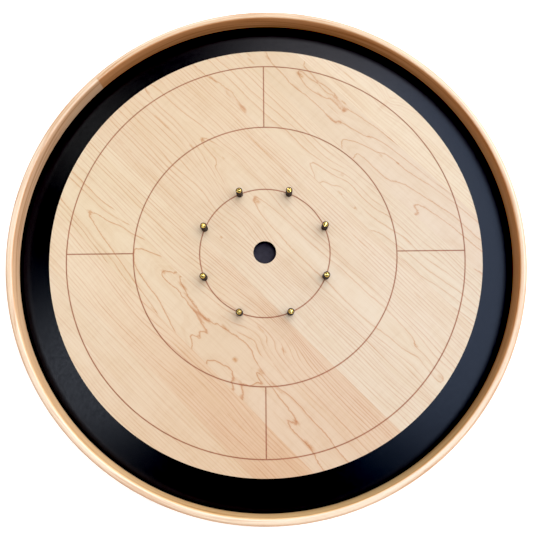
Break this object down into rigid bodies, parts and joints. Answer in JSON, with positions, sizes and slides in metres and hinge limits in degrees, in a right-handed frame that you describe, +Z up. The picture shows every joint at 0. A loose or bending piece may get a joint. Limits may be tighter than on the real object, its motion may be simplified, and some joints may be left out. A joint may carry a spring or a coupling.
{
  "type": "crokinole board",
  "caption": "Round wooden crokinole board: veneered deck with scored circles, sunken centre hole, sleeved screw posts, black ditch, bent wood rim, rubber feet and a wall hanger.",
  "frame": {"origin": "centre of the board at the level of the surface its feet stand on", "axes": "+Z up along the centre line of the 20-hole; the quadrant lines lie along X and Y; the wall hanger is near +Y"},
  "size_m": [0.7856, 0.7858, 0.0623],
  "materials": {
    "maple_face": "clear satin lacquer on maple veneer",
    "maple_rim": "clear satin lacquer on bent solid wood",
    "black_board": "satin black paint",
    "core_board": "fibreboard with its edges painted black",
    "backing": "plain wood veneer, glued in",
    "brass": "aged, lightly polished",
    "sleeve_rubber": "matt rubber tube",
    "foot_rubber": "matt moulded rubber",
    "zinc_screw": "zinc plated",
    "plated_steel": "nickel plated"
  },
  "bodies": {
    "board": {"base_board": "black_board", "deck_riser": "black_board", "deck_backing_veneer": "backing", "deck_core": "core_board", "face_veneer_leaf_1": "maple_face", "face_veneer_leaf_2": "maple_face", "face_veneer_leaf_3": "maple_face", "face_veneer_leaf_4": "maple_face", "face_veneer_leaf_5": "maple_face", "face_veneer_leaf_6": "maple_face", "face_veneer_leaf_7": "maple_face", "face_veneer_leaf_8": "maple_face", "rim_inner_ply": "maple_rim", "rim_outer_ply": "maple_rim", "post_screw_1": "brass", "post_screw_2": "brass", "post_screw_3": "brass", "post_screw_4": "brass", "post_screw_5": "brass", "post_screw_6": "brass", "post_screw_7": "brass", "post_screw_8": "brass", "post_sleeve_1": "sleeve_rubber", "post_sleeve_2": "sleeve_rubber", "post_sleeve_3": "sleeve_rubber", "post_sleeve_4": "sleeve_rubber", "post_sleeve_5": "sleeve_rubber", "post_sleeve_6": "sleeve_rubber", "post_sleeve_7": "sleeve_rubber", "post_sleeve_8": "sleeve_rubber", "deck_screws": "zinc_screw", "foot_1": "foot_rubber", "foot_2": "foot_rubber", "foot_3": "foot_rubber", "foot_4": "foot_rubber", "foot_screws": "zinc_screw", "hanger_strap": "plated_steel", "hanger_screws": "zinc_screw"},
    "ring": {"hanger_ring": "plated_steel"}
  },
  "joints": [
    {"name": "ring_hinge", "type": "hinge", "parent": "board", "child": "ring", "pos_m": [0, 0.338, 0.00524], "axis": [-1, 0, 0], "range_deg": [0, 160]}
  ]
}
